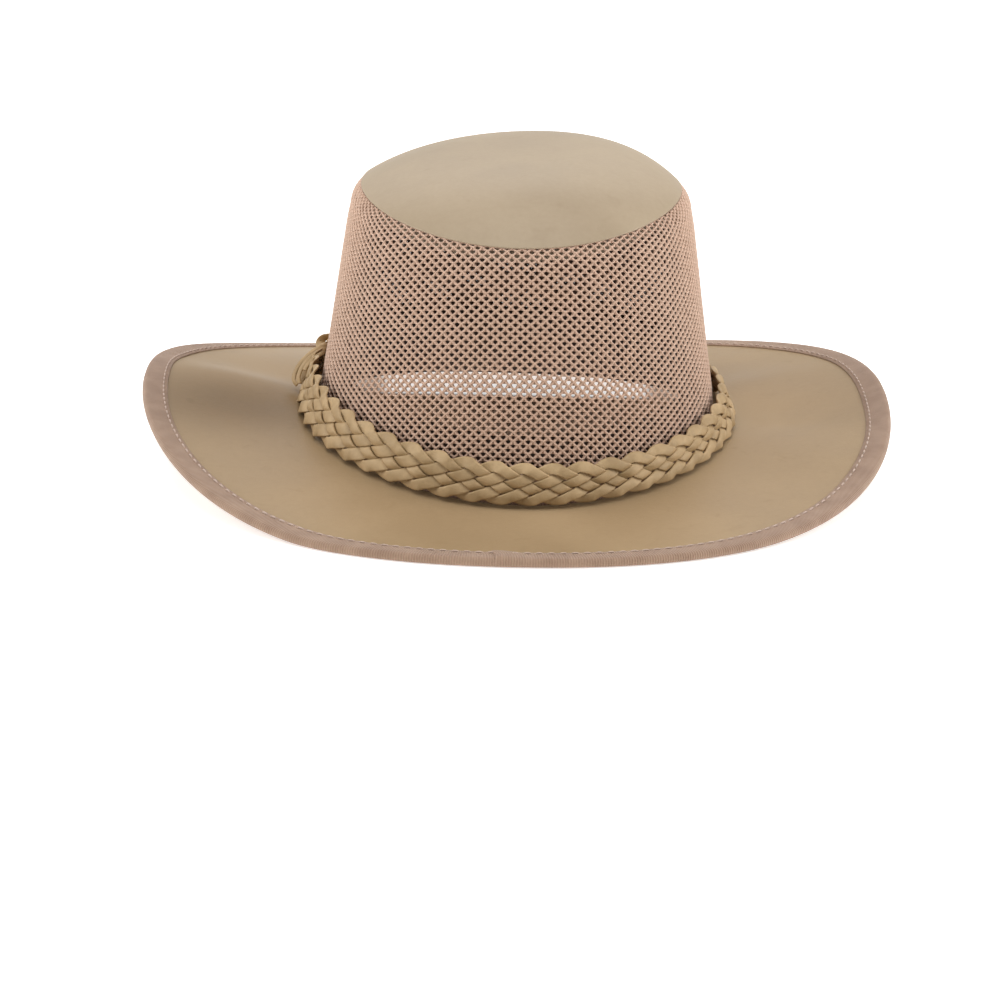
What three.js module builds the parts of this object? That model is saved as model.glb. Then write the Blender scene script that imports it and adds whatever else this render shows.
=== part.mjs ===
// A bush hat: a domed leather tip, a side wall of knitted mesh, a wide leather brim with
// a bound edge, a leather sweatband, and a plaited leather band with its tied ends.
// Millimetres, +Z up. The hat rests on its brim, the origin is on the surface under the
// middle of the crown, +Y is the hat's front, and angles run from +X towards +Y.

import * as THREE from 'three';

// Driving dimensions
const stations = 64;
const gap = 0.3;

// The oval where the crown meets the brim, measured outside the wall. Its height follows
// the head: high over the ears, low at the front and the back.
const base = { height: 6.3, sideRise: 9.5, frontRise: 2, leftRise: 1.5, squareness: 2.1 };

// The oval seam between the wall and the tip.
const seam = { halfWidth: 67.8, halfLength: 83.9, height: 115.1, backDrop: 9.8, frontDrop: 4 };

// The wall's outside from just below the base to the seam. Rise is the share of the way up.
const wallThickness = 1.5;
const wallProfile = [
  { rise: -0.024, halfWidth: 85.6, halfLength: 104.1 },
  { rise: 0.13, halfWidth: 84.0, halfLength: 102.4 },
  { rise: 0.33, halfWidth: 81.0, halfLength: 98.9 },
  { rise: 0.54, halfWidth: 78.0, halfLength: 95.2 },
  { rise: 0.74, halfWidth: 75.2, halfLength: 91.6 },
  { rise: 0.89, halfWidth: 72.8, halfLength: 88.8 },
  { rise: 0.962, halfWidth: 70.9, halfLength: 86.9 },
  { rise: 1, halfWidth: seam.halfWidth, halfLength: seam.halfLength },
];

// The tip is a flat dome. Its edge turns down inside the wall as a short skirt.
const tip = {
  height: 130.3,
  roundness: 3.7,
  frontLean: 4,
  sideLean: 4.5,
  thickness: 2,
  skirtDrop: 6,
  skirtInset: 1.8,
  skirtThickness: 1.6,
  outerRows: [1, 0.96, 0.9, 0.82, 0.7, 0.5, 0.25],
};

const sweatband = { thickness: 1.4, rises: [-0.03, 0.12, 0.27] };

// The brim's sheet lies in the middle of its bound edge. Its edge height is a sum of
// waves round the hat: lift is a wave's height, and at is the angle of its first top.
const brim = {
  halfWidth: 160.2,
  halfLength: 174.1,
  squareness: 2.21,
  thickness: 1.5,
  sideHollow: 0.7,
  restSoftness: 1.2,
  rows: [0, 0.15, 0.32, 0.48, 0.64, 0.79],
};
const edgeHeight = 10.9;
const edgeWaves = [
  { count: 1, lift: 2.1, at: 129 },
  { count: 2, lift: 13.5, at: 5 },
  { count: 3, lift: 2.9, at: 44 },
  { count: 4, lift: 2.4, at: 5.5 },
];

// Soft folds across the brim. Spread is a fold's half width in degrees, and peak is the
// share of the brim's width at which it is deepest.
const brimFolds = [
  { at: 176, spread: 11, peak: 0.55, lift: 3.2 },
  { at: 340, spread: 10, peak: 0.5, lift: 2.2 },
  { at: 0, spread: 9, peak: 0.45, lift: -2.6 },
  { at: 20, spread: 10, peak: 0.4, lift: 2.4 },
];

// A tape folded round the brim's edge, as a section: in is measured from the outermost
// point towards the crown, and up from the middle of the brim's sheet.
const edgeHalfHeight = 2;
const tapeWidth = 10.5;
const tapeMiddle = 6;
const tapeSection = [
  { in: tapeWidth, up: edgeHalfHeight },
  { in: tapeWidth, up: 1.05 },
  { in: tapeMiddle, up: 1.05 },
  { in: 1.3, up: 1.05 },
  { in: 1.3, up: -1.05 },
  { in: tapeMiddle, up: -1.05 },
  { in: tapeWidth, up: -1.05 },
  { in: tapeWidth, up: -edgeHalfHeight },
  { in: tapeMiddle, up: -edgeHalfHeight },
  { in: 1.6, up: -edgeHalfHeight },
  { in: 0, up: -0.8 },
  { in: 0, up: 0.8 },
  { in: 1.6, up: edgeHalfHeight },
  { in: tapeMiddle, up: edgeHalfHeight },
];
const sheetEdgeRows = [tapeWidth, tapeMiddle, 1.7];

// The plaited band, with a loop of thong along each edge for every crossing.
const plait = {
  loops: 47,
  stationsPerLoop: 4,
  height: 20,
  lift: 0.6,
  wallGap: 1.6,
  thickness: 5.5,
  bottomFlare: 1.4,
  scallop: 1.4,
  relief: 0.7,
  bevel: 1.4,
};

// The tie of the plait's ends, on the left side. Out is measured from the wall, up from
// the base oval, and at in degrees round the hat.
const tieWrap = {
  width: 7,
  thickness: 2.4,
  path: [
    { at: 163, out: 1.6, up: 22.9 },
    { at: 164, out: 4.6, up: 23.3 },
    { at: 166, out: 8.4, up: 20.8 },
    { at: 168, out: 10.4, up: 15.5 },
    { at: 170, out: 11.3, up: 9.5 },
    { at: 172, out: 11.4, up: 4 },
  ],
};
const tieEnd = {
  width: 4,
  thickness: 1.4,
  path: [
    { at: 157.5, out: 9.3, up: 13.5 },
    { at: 156.5, out: 9.8, up: 17.5 },
    { at: 155, out: 9.2, up: 21.8 },
    { at: 153.8, out: 6.6, up: 24.6 },
    { at: 153, out: 3.4, up: 25.4 },
  ],
};

const radians = THREE.MathUtils.degToRad;
const mix = THREE.MathUtils.lerp;

// A point of an oval that is a little squarer than an ellipse above a squareness of 2.
function ovalPoint(halfWidth, halfLength, squareness, angle) {
  const c = Math.cos(angle);
  const s = Math.sin(angle);
  const reach = (Math.abs(c) ** squareness + Math.abs(s) ** squareness) ** (-1 / squareness);
  return new THREE.Vector3(halfWidth * reach * c, halfLength * reach * s, 0);
}

function baseHeight(angle) {
  const c = Math.cos(angle);
  return base.height + base.sideRise * c * c + base.frontRise * Math.sin(angle) - base.leftRise * c;
}

function seamHeight(angle) {
  const s = Math.sin(angle);
  const drop = s < 0 ? seam.backDrop : seam.frontDrop;
  return seam.height - drop * s * s;
}

// The wall's outside at a share of the way up, straight between the profile's rows.
function wallSurface(rise, angle) {
  const last = wallProfile.length - 1;
  let row = wallProfile.findIndex((entry) => entry.rise > rise);
  row = THREE.MathUtils.clamp(row < 0 ? last : row, 1, last);
  const below = wallProfile[row - 1];
  const above = wallProfile[row];
  const share = (rise - below.rise) / (above.rise - below.rise);
  const halfWidth = mix(below.halfWidth, above.halfWidth, share);
  const halfLength = mix(below.halfLength, above.halfLength, share);
  const point = ovalPoint(halfWidth, halfLength, base.squareness, angle);
  point.z = mix(baseHeight(angle), seamHeight(angle), rise);
  return point;
}

// The tip's outside: reach is 0 at its middle and 1 at the seam, and the height falls
// with a power of the reach, so the dome is flat on top and steep at its edge.
function tipSurface(reach, angle) {
  const point = ovalPoint(seam.halfWidth, seam.halfLength, base.squareness, angle);
  const edge = seamHeight(angle) + gap / 2;
  point.multiplyScalar(reach);
  const lean = (tip.sideLean * point.x) / seam.halfWidth + (tip.frontLean * point.y) / seam.halfLength;
  point.z = mix(tip.height, edge, reach ** tip.roundness) + lean * (1 - reach * reach);
  return point;
}

// Leather that would sink below the resting height is flattened on it, with a soft start.
function restOnFloor(height, floor, softness) {
  const above = height - floor;
  if (above <= -softness) return floor;
  if (above >= softness) return height;
  return floor + (above + softness) ** 2 / (4 * softness);
}

// The middle of the brim's sheet: reach is 0 at the crown and 1 at the bound edge's
// outermost line. At the sides it stays low by the crown and curls up towards the edge.
function brimSurface(reach, angle) {
  const wall = wallProfile[0];
  const inner = ovalPoint(wall.halfWidth + gap, wall.halfLength + gap, base.squareness, angle);
  const outer = ovalPoint(brim.halfWidth, brim.halfLength, brim.squareness, angle);
  const point = inner.lerp(outer, reach);
  const start = baseHeight(angle) - brim.thickness / 2;
  let end = edgeHeight;
  for (const wave of edgeWaves) {
    end += wave.lift * Math.cos(wave.count * (angle - radians(wave.at)));
  }
  const curl = 1 + brim.sideHollow * Math.cos(angle) ** 2;
  const share = THREE.MathUtils.clamp(reach, 0, 1);
  let height = start + (end - start) * Math.max(reach, 0) ** curl;
  for (const fold of brimFolds) {
    const turn = angle - radians(fold.at);
    const across = Math.atan2(Math.sin(turn), Math.cos(turn)) / radians(fold.spread);
    const along = Math.sin(Math.PI * share ** (Math.log(0.5) / Math.log(fold.peak)));
    height += fold.lift * along * Math.exp(-across * across);
  }
  point.z = restOnFloor(height, edgeHalfHeight, brim.restSoftness);
  return point;
}

// A point at a distance from a surface, along its upward or outward normal.
function offsetPoint(surface, along, angle, distance) {
  const step = 1e-3;
  const acrossStep = surface(along + step, angle).sub(surface(along - step, angle));
  const roundStep = surface(along, angle + step).sub(surface(along, angle - step));
  const normal = roundStep.cross(acrossStep).normalize();
  return surface(along, angle).addScaledVector(normal, distance);
}

// A closed body from rows of points that run round the hat. Each row is a ring, the rows
// go round the section from inside to outside, and a pole closes a row in one point.
function bodyFromRings(rings, poles = {}) {
  const positions = rings.flat().flatMap((point) => point.toArray());
  const count = rings[0].length;
  const faces = [];
  const closed = !poles.first;
  const lastPair = closed ? rings.length : rings.length - 1;
  for (let row = 0; row < lastPair; row++) {
    const next = (row + 1) % rings.length;
    for (let i = 0; i < count; i++) {
      const j = (i + 1) % count;
      const [a, b] = [row * count + i, row * count + j];
      const [c, d] = [next * count + i, next * count + j];
      faces.push(a, b, c, b, d, c);
    }
  }
  if (!closed) {
    const first = positions.length / 3;
    positions.push(...poles.first.toArray(), ...poles.last.toArray());
    const lastRow = (rings.length - 1) * count;
    for (let i = 0; i < count; i++) {
      const j = (i + 1) % count;
      faces.push(first, j, i, first + 1, lastRow + i, lastRow + j);
    }
  }
  return geometryFrom(positions, faces);
}

function geometryFrom(positions, faces) {
  const geometry = new THREE.BufferGeometry();
  geometry.setAttribute('position', new THREE.Float32BufferAttribute(positions, 3));
  geometry.setIndex(faces);
  geometry.computeVertexNormals();
  return geometry;
}

function ring(pointAt, count = stations) {
  return Array.from({ length: count }, (_, i) => pointAt((2 * Math.PI * i) / count));
}

function wallGeometry() {
  const rises = wallProfile.map((row) => row.rise);
  const top = rises.length - 1;
  const outside = rises.map((rise, row) =>
    ring((angle) => {
      const point = wallSurface(rise, angle);
      if (row === top) point.z -= gap / 2;
      return point;
    }));
  const inside = rises.map((rise) => ring((angle) => offsetPoint(wallSurface, rise, angle, -wallThickness)));
  return bodyFromRings([...outside, ...inside.reverse()]);
}

function sweatbandGeometry() {
  const near = -(wallThickness + gap + 0.1);
  const far = near - sweatband.thickness;
  const bandRing = (distance) => (rise) => ring((angle) => offsetPoint(wallSurface, rise, angle, distance));
  const outside = sweatband.rises.map(bandRing(near));
  const inside = sweatband.rises.map(bandRing(far));
  return bodyFromRings([...outside, ...inside.reverse()]);
}

function tipGeometry() {
  const skirtRing = (inset, drop) => ring((angle) => {
    const point = ovalPoint(seam.halfWidth - inset, seam.halfLength - inset, base.squareness, angle);
    point.z = seamHeight(angle) - drop;
    return point;
  });
  const innerRows = tip.outerRows.slice(1).reverse();
  const skirtInner = tip.skirtInset + tip.skirtThickness;
  const rings = [
    ...innerRows.map((reach) => ring((angle) => offsetPoint(tipSurface, reach, angle, tip.thickness))),
    skirtRing(skirtInner, tip.skirtDrop),
    skirtRing(tip.skirtInset, tip.skirtDrop),
    skirtRing(tip.skirtInset, -gap / 2),
    ...tip.outerRows.map((reach) => ring((angle) => tipSurface(reach, angle))),
  ];
  const middle = tipSurface(0, 0);
  const poles = { first: middle.clone().setZ(middle.z - tip.thickness), last: middle };
  return bodyFromRings(rings, poles);
}

// The share of the brim's width that lies at a distance in from its outermost line.
function reachFromEdge(distance, angle) {
  const width = brimSurface(1, angle).distanceTo(brimSurface(0, angle));
  return 1 - distance / width;
}

function brimGeometry() {
  const half = brim.thickness / 2;
  const reaches = [
    ...brim.rows.map((reach) => () => reach),
    ...sheetEdgeRows.map((distance) => (angle) => reachFromEdge(distance, angle)),
  ];
  const face = (side) => reaches.map((reach) =>
    ring((angle) => offsetPoint(brimSurface, reach(angle), angle, side * half)));
  return bodyFromRings([...face(-1).reverse(), ...face(1)]);
}

function bindingGeometry() {
  const rings = tapeSection.map((corner) =>
    ring((angle) => offsetPoint(brimSurface, reachFromEdge(corner.in, angle), angle, -corner.up)));
  return bodyFromRings(rings);
}

// The plaited band. Its edges are scalloped, and its face swells and sinks where the
// thongs cross, twice as often across the band as along it.
function plaitGeometry() {
  const count = plait.loops * plait.stationsPerLoop;
  const wave = (angle, shift) => Math.cos(plait.loops * angle + shift);
  const facePoint = (share, out, edge) => (angle) => {
    const cutIn = (edge * plait.scallop * (1 - wave(angle, 0))) / 2;
    const up = plait.lift + plait.height * share - cutIn;
    const rise = up / (seamHeight(angle) - baseHeight(angle));
    const flare = plait.bottomFlare * (1 - share) ** 2;
    const swell = out > plait.wallGap ? plait.relief * wave(angle, Math.PI * (1 + 4 * share)) : 0;
    const point = wallSurface(rise, angle);
    const outward = point.clone().setZ(0).normalize();
    return point.addScaledVector(outward, out + flare + swell);
  };
  const inner = plait.wallGap;
  const outer = plait.wallGap + plait.thickness;
  const rings = [
    ring(facePoint(1, inner, 1), count),
    ring(facePoint(0, inner, -1), count),
    ring(facePoint(0.04, outer - plait.bevel, -1), count),
    ring(facePoint(0.3, outer, 0), count),
    ring(facePoint(0.7, outer, 0), count),
    ring(facePoint(0.96, outer - plait.bevel, 1), count),
  ];
  return bodyFromRings(rings);
}

// A flat thong along a path beside the band, with its width along the band.
function thongGeometry({ width, thickness, path }) {
  const points = path.map(({ at, out, up }) => {
    const angle = radians(at);
    const point = wallSurface(up / (seamHeight(angle) - baseHeight(angle)), angle);
    return point.addScaledVector(point.clone().setZ(0).normalize(), out);
  });
  const first = points[0];
  const round = new THREE.Vector3(-first.y, first.x, 0).normalize();
  const positions = [];
  points.forEach((point, i) => {
    const before = points[Math.max(i - 1, 0)];
    const after = points[Math.min(i + 1, points.length - 1)];
    const along = after.clone().sub(before).normalize();
    const side = round.clone().addScaledVector(along, -round.dot(along)).normalize();
    const face = along.clone().cross(side);
    for (const [u, v] of [[-1, -1], [1, -1], [1, 1], [-1, 1]]) {
      const corner = point.clone();
      corner.addScaledVector(side, (u * width) / 2).addScaledVector(face, (v * thickness) / 2);
      positions.push(...corner.toArray());
    }
  });
  const faces = [];
  for (let i = 0; i < points.length - 1; i++) {
    for (let k = 0; k < 4; k++) {
      const [a, b] = [4 * i + k, 4 * i + ((k + 1) % 4)];
      faces.push(a, b, a + 4, b, b + 4, a + 4);
    }
  }
  const end = 4 * (points.length - 1);
  faces.push(0, 2, 1, 0, 3, 2, end, end + 1, end + 2, end, end + 2, end + 3);
  return geometryFrom(positions, faces);
}

const materials = {
  tipLeather: new THREE.MeshStandardMaterial({ color: 0xbba88c, roughness: 0.55 }),
  brimLeather: new THREE.MeshStandardMaterial({ color: 0xa78e6a, roughness: 0.55 }),
  meshYarn: new THREE.MeshStandardMaterial({ color: 0xbd9f8b, roughness: 0.9, side: THREE.DoubleSide }),
  ribbedTape: new THREE.MeshStandardMaterial({ color: 0xb5988a, roughness: 0.85 }),
  bandLeather: new THREE.MeshStandardMaterial({ color: 0xb9a078, roughness: 0.6 }),
  sweatLeather: new THREE.MeshStandardMaterial({ color: 0x4a3427, roughness: 0.7 }),
};

function piece(name, geometry, material) {
  const mesh = new THREE.Mesh(geometry, material);
  mesh.name = name;
  return mesh;
}

const hat = new THREE.Group();
hat.add(
  piece('crown_tip', tipGeometry(), materials.tipLeather),
  piece('crown_mesh', wallGeometry(), materials.meshYarn),
  piece('sweatband', sweatbandGeometry(), materials.sweatLeather),
  piece('brim', brimGeometry(), materials.brimLeather),
  piece('brim_binding', bindingGeometry(), materials.ribbedTape),
  piece('plaited_band', plaitGeometry(), materials.bandLeather),
  piece('tie_wrap', thongGeometry(tieWrap), materials.bandLeather),
  piece('tie_end', thongGeometry(tieEnd), materials.bandLeather),
);

export default hat;
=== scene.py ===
# A bush hat with a leather tip and brim, a knitted mesh wall, a bound edge and a plaited band.
# Shapes are worked out in millimetres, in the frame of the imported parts, and kept in metres.
import bpy
import numpy as np
from mathutils import Matrix


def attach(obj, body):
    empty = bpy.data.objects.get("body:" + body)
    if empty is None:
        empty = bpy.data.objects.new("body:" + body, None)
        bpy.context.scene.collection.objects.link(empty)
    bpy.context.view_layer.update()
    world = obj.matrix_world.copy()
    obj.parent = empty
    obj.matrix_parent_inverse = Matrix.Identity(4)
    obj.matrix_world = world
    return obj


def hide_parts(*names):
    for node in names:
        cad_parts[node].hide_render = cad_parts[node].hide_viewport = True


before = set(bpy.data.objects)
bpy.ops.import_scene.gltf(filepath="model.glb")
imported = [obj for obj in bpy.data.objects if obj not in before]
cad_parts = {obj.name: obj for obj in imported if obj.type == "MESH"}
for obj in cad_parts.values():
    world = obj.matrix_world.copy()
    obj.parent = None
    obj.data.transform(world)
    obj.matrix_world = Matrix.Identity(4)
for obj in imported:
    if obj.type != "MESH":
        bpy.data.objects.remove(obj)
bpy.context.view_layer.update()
scene = bpy.context.scene
metresPerMm = 0.001
print("parts loaded:", ", ".join(sorted(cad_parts)))

# Camera: it stands behind the hat, a little above it, and looks slightly under its middle.
view = {
    "elevation": 13.9,
    "yaw": -0.455,
    "roll": 1.245,
    "pitchDown": 3.121,
    "turnLeft": 0.308,
    "distance": 1500.0,
    "target": (0.0, 0.0, 60.0),
    "focalPixels": 3491.7,
    "imageWidth": 1000.0,
    "sensorWidth": 36.0,
}


def makeCamera():
    # The axes come from elevation and yaw, are rolled about the line of sight, and are then
    # pitched and turned so that the target sits off the middle of the picture.
    elevation, yaw, roll = (np.radians(view[key]) for key in ("elevation", "yaw", "roll"))
    back = np.array([np.sin(yaw) * np.cos(elevation), -np.cos(yaw) * np.cos(elevation), np.sin(elevation)])
    right = np.array([np.cos(yaw), np.sin(yaw), 0.0])
    up = np.cross(back, right)
    rolledRight = np.cos(roll) * right + np.sin(roll) * up
    rolledUp = np.cos(roll) * up - np.sin(roll) * right
    axes = Matrix(np.column_stack([rolledRight, rolledUp, back]).tolist())
    pitch = Matrix.Rotation(-np.radians(view["pitchDown"]), 3, "X")
    turn = Matrix.Rotation(np.radians(view["turnLeft"]), 3, "Y")
    place = (np.array(view["target"]) + view["distance"] * back) * metresPerMm
    data = bpy.data.cameras.new("photoCamera")
    data.sensor_width = view["sensorWidth"]
    data.lens = view["focalPixels"] / view["imageWidth"] * view["sensorWidth"]
    data.clip_start, data.clip_end = 0.05, 50.0
    camera = bpy.data.objects.new("photoCamera", data)
    scene.collection.objects.link(camera)
    camera.matrix_world = Matrix.Translation(place.tolist()) @ (axes @ pitch @ turn).to_4x4()
    scene.camera = camera


makeCamera()
print("camera ready")

# Ovals and heights that every piece shares, as in the parts themselves.
base = {"height": 6.3, "sideRise": 9.5, "frontRise": 2.0, "leftRise": 1.5, "squareness": 2.1}
seam = {"halfWidth": 67.8, "halfLength": 83.9, "height": 115.1, "backDrop": 8.9, "frontDrop": 4.0}
wall = {
    "rise": [-0.024, 0.13, 0.33, 0.54, 0.74, 0.89, 0.962, 1.0],
    "halfWidth": [85.6, 84.0, 81.0, 78.0, 75.2, 72.8, 70.9, 67.8],
    "halfLength": [104.1, 102.4, 98.9, 95.2, 91.6, 88.8, 86.9, 83.9],
    "gap": 0.3,
}


def smoothStep(value, low, high):
    share = np.clip((value - low) / (high - low), 0.0, 1.0)
    return share * share * (3 - 2 * share)


def blend(first, second, share):
    return first + (second - first) * share


def smoothTable(x, xs, ys):
    # A cubic through the rows of a table, whose slope at each row is its neighbours' slope.
    xs, ys = np.asarray(xs, float), np.asarray(ys, float)
    slopes = np.gradient(ys, xs)
    i = np.clip(np.searchsorted(xs, x) - 1, 0, len(xs) - 2)
    width = xs[i + 1] - xs[i]
    t = (x - xs[i]) / width
    start = (1 + 2 * t) * (1 - t) ** 2 * ys[i] + t * (1 - t) ** 2 * width * slopes[i]
    end = t * t * (3 - 2 * t) * ys[i + 1] - t * t * (1 - t) * width * slopes[i + 1]
    return start + end


def ovalPoint(halfWidth, halfLength, squareness, angle):
    # An oval a little squarer than an ellipse: the reach at an angle is the power mean of
    # its cosine and sine.
    c, s = np.cos(angle), np.sin(angle)
    reach = (np.abs(c) ** squareness + np.abs(s) ** squareness) ** (-1 / squareness)
    x, y = halfWidth * reach * c, halfLength * reach * s
    return np.stack(np.broadcast_arrays(x, y, np.zeros_like(x)), -1)


def baseHeight(angle):
    # The wall's base line: higher at the sides, and a little towards the front and the left.
    c = np.cos(angle)
    side = base["sideRise"] * c * c
    return base["height"] + side + base["frontRise"] * np.sin(angle) - base["leftRise"] * c


def seamHeight(angle):
    # The seam drops towards the back and the front with the square of the sine.
    s = np.sin(angle)
    return seam["height"] - np.where(s < 0, seam["backDrop"], seam["frontDrop"]) * s * s


def wallSurface(rise, angle):
    # The outside of the wall: an oval whose half sizes follow the table of the rise, at a
    # height between the base line and the seam line.
    rise, angle = np.broadcast_arrays(np.asarray(rise, float), np.asarray(angle, float))
    halfWidth = smoothTable(rise, wall["rise"], wall["halfWidth"])
    halfLength = smoothTable(rise, wall["rise"], wall["halfLength"])
    point = ovalPoint(halfWidth, halfLength, base["squareness"], angle)
    point[..., 2] = blend(baseHeight(angle), seamHeight(angle), rise)
    return point


def surfaceNormal(surface, along, angle):
    # The unit cross product of a small step round the hat and a small step along a surface.
    step = 1e-3
    acrossStep = surface(along + step, angle) - surface(along - step, angle)
    roundStep = surface(along, angle + step) - surface(along, angle - step)
    normal = np.cross(roundStep, acrossStep)
    return normal / np.linalg.norm(normal, axis=-1, keepdims=True)


def offsetPoint(surface, along, angle, distance):
    # A point of a surface, moved along the surface's normal.
    distance = np.asarray(distance, float)[..., None]
    return surface(along, angle) + surfaceNormal(surface, along, angle) * distance


def pathLengths(points):
    # The length of a path from its first point to each of its points.
    steps = np.linalg.norm(np.diff(points, axis=0), axis=1)
    return np.concatenate([[0.0], np.cumsum(steps)])


def turnFrom(angle, place):
    # How far an angle lies from a place, the short way round, as a share of its spread.
    turn = angle - np.radians(place["at"])
    return np.arctan2(np.sin(turn), np.cos(turn)) / np.radians(place["spread"])


def weld(points, weldStep=0.004):
    # Points in the same small cell are one point: gives the kept ones and each one's number.
    cell = np.round(points / weldStep).astype(np.int64) + 2 ** 17
    code = (cell[:, 0] << 36) + (cell[:, 1] << 18) + cell[:, 2]
    _, kept, number = np.unique(code, return_index=True, return_inverse=True)
    return kept, number.reshape(-1)


def gridCorners(points):
    # The four corners of each cell of a grid of points, or of each grid in a stack of them.
    index = np.arange(points[..., 0].size).reshape(-1, *points.shape[-3:-1])
    sides = (index[:, :-1, :-1], index[:, :-1, 1:], index[:, 1:, 1:], index[:, 1:, :-1])
    return np.stack(sides, -1).reshape(-1, 4)


def makePiece(name, points, material, corners=None, uv=None, values=None, sharpAngle=None, nodes=()):
    # A mesh from a grid of points, or from points and four-cornered faces. Doubles are
    # merged, a face with a doubled corner becomes a triangle, and the faces are turned so
    # that the volume is positive.
    corners = gridCorners(points) if corners is None else corners
    points = points.reshape(-1, 3)
    kept, number = weld(points)
    merged = number[corners]
    single = merged != np.roll(merged, -1, axis=1)
    folded = (merged[:, 0] == merged[:, 2]) | (merged[:, 1] == merged[:, 3])
    good = (single.sum(1) >= 3) & ~folded
    corners, merged, single = corners[good], merged[good], single[good]
    spot = points[kept][merged]
    volume = np.einsum("ij,ij->i", spot[:, 0], np.cross(spot[:, 1], spot[:, 2])).sum()
    volume += np.einsum("ij,ij->i", spot[:, 0], np.cross(spot[:, 2], spot[:, 3])).sum()
    if volume < 0:
        corners, merged, single = corners[:, ::-1], merged[:, ::-1], single[:, ::-1]
    used, loops = np.unique(merged[single], return_inverse=True)
    totals = single.sum(1)
    mesh = bpy.data.meshes.new(name)
    mesh.vertices.add(len(used))
    mesh.vertices.foreach_set("co", (points[kept][used] * metresPerMm).astype(np.float32).ravel())
    mesh.loops.add(len(loops))
    mesh.loops.foreach_set("vertex_index", loops.reshape(-1).astype(np.int32))
    mesh.polygons.add(len(totals))
    mesh.polygons.foreach_set("loop_start", (np.cumsum(totals) - totals).astype(np.int32))
    mesh.polygons.foreach_set("use_smooth", np.ones(len(totals), bool))
    mesh.update(calc_edges=True)
    if uv is not None:
        layer = mesh.uv_layers.new(name="flat")
        layer.data.foreach_set("uv", uv.reshape(-1, 2)[corners[single]].astype(np.float32).ravel())
    for key, value in (values or {}).items():
        attribute = mesh.attributes.new(key, "FLOAT", "POINT")
        attribute.data.foreach_set("value", value.reshape(-1)[kept][used].astype(np.float32))
    if sharpAngle is not None:
        mesh.set_sharp_from_angle(angle=np.radians(sharpAngle))
    mesh.materials.append(material)
    piece = bpy.data.objects.new(name, mesh)
    scene.collection.objects.link(piece)
    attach(piece, "root")
    if nodes:
        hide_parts(*nodes)
    print(name, "made,", int((totals - 2).sum()), "triangles")


def fullTurn(count):
    return np.linspace(0.0, 2 * np.pi, count + 1)


def closeRound(points):
    # The last point of each round is the first one again, to the last digit.
    points[..., -1, :] = points[..., 0, :]
    return points


# Materials: colours are light and dark ends between which each pattern mixes.
def newGroup(name, inputs, outputs):
    group = bpy.data.node_groups.new(name, "ShaderNodeTree")
    for socketName, kind, default in inputs:
        socket = group.interface.new_socket(name=socketName, in_out="INPUT", socket_type=kind)
        socket.default_value = default
    for socketName, kind in outputs:
        group.interface.new_socket(name=socketName, in_out="OUTPUT", socket_type=kind)
    nodes = group.nodes
    return group, nodes.new("NodeGroupInput"), nodes.new("NodeGroupOutput")


def addNode(tree, kind, inputs=None, **settings):
    # A node with its settings, and its inputs as values or as another node's outputs.
    node = tree.nodes.new(kind)
    for key, value in settings.items():
        setattr(node, key, value)
    for key, value in (inputs or {}).items():
        if isinstance(value, bpy.types.NodeSocket):
            tree.links.new(value, node.inputs[key])
        else:
            node.inputs[key].default_value = value
    return node


def mixColour(tree, share, first, second, how="MIX"):
    node = addNode(tree, "ShaderNodeMix", data_type="RGBA", blend_type=how)
    for socket, value in ((node.inputs[0], share), (node.inputs[6], first), (node.inputs[7], second)):
        if isinstance(value, bpy.types.NodeSocket):
            tree.links.new(value, socket)
        else:
            socket.default_value = value
    return node.outputs[2]


def calculate(tree, operation, first, second=0.0, third=0.0):
    return addNode(tree, "ShaderNodeMath", {0: first, 1: second, 2: third}, operation=operation).outputs[0]


def rescale(tree, value, fromLow, fromHigh, toLow, toHigh):
    inputs = {"Value": value, "From Min": fromLow, "From Max": fromHigh, "To Min": toLow, "To Max": toHigh}
    return addNode(tree, "ShaderNodeMapRange", inputs).outputs["Result"]


def objectPlace(tree):
    return addNode(tree, "ShaderNodeTexCoord").outputs["Object"]


def addNoise(tree, place, scale, detail, **more):
    inputs = {"Vector": place, "Scale": scale, "Detail": detail, **more}
    return addNode(tree, "ShaderNodeTexNoise", inputs).outputs["Fac"]


def pointValue(tree, name):
    return addNode(tree, "ShaderNodeAttribute", attribute_name=name).outputs["Fac"]


markTint = (0.78, 0.74, 0.68, 1)


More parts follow.
